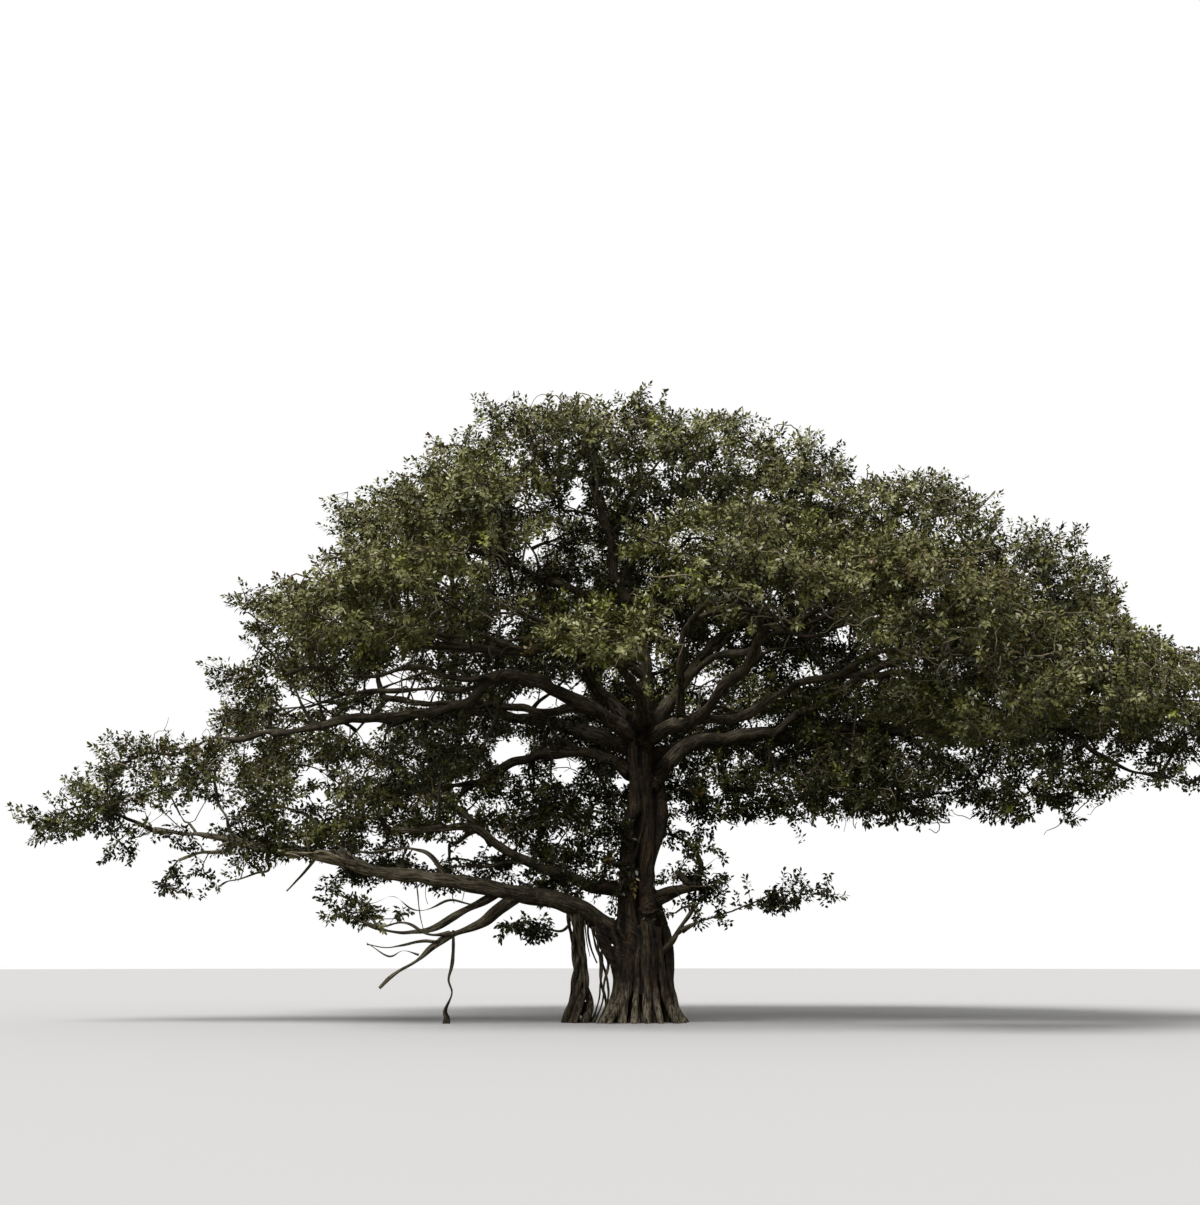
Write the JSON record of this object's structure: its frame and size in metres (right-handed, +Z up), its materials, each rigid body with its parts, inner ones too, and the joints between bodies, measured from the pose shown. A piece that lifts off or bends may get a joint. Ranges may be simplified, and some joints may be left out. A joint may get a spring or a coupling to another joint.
{
  "type": "banyan tree",
  "caption": "Old spreading banyan: fused fluted trunk with root flare, prop stems, long low boughs, hanging roots and a wide crown of layered leaf masses.",
  "frame": {"origin": "middle of the flat cut under the main trunk, at ground level", "axes": "+Z up, +X across the crown towards its fuller side, +Y to the far side"},
  "size_m": [30.451, 21.3078, 15.1618],
  "materials": {
    "bark": "dark grey-brown bark, fluted, rough",
    "pale_bark": "weathered pale grey-brown bark",
    "foliage": "dark olive green leathery leaves with a soft gloss"
  },
  "bodies": {
    "root": {"trunk": "bark", "prop_trunk": "bark", "prop_root": "bark", "aerial_root": "pale_bark", "low_left_bough": "bark", "low_left_bough_outer": "pale_bark", "drooping_bough": "pale_bark", "arching_bough": "bark", "left_mid_bough": "bark", "long_left_bough": "bark", "upper_left_bough": "bark", "leader": "bark", "right_leader": "bark", "front_right_bough": "bark", "low_right_bough": "bark", "low_right_bough_outer": "bark", "right_stub_bough": "bark", "front_bough": "bark", "back_left_bough": "bark", "back_bough": "bark", "back_right_bough": "bark", "top_left": "foliage", "top_centre": "foliage", "top_right": "foliage", "shoulder_right": "foliage", "dome_right": "foliage", "dome_right_outer": "foliage", "right_edge": "foliage", "far_right": "foliage", "shoulder_left": "foliage", "left_bulge": "foliage", "left_mid": "foliage", "left_outer": "foliage", "left_tip": "foliage", "left_low": "foliage", "left_low_inner": "foliage", "left_core": "foliage", "droop_tuft": "foliage", "stub_mass_right": "foliage", "stub_tuft_right": "foliage", "left_middle": "foliage", "right_middle": "foliage", "right_core": "foliage", "right_under": "foliage", "right_low": "foliage", "front_right_high": "foliage", "front_right_outer": "foliage", "front_right_low": "foliage", "front_right_edge": "foliage", "front_centre": "foliage", "front_left_high": "foliage", "front_left": "foliage", "back_left_high": "foliage", "back_centre_high": "foliage", "back_right_high": "foliage", "back_right_outer": "foliage", "back_left": "foliage", "back_left_low": "foliage", "back_centre_low": "foliage", "back_right_low": "foliage"}
  },
  "joints": []
}
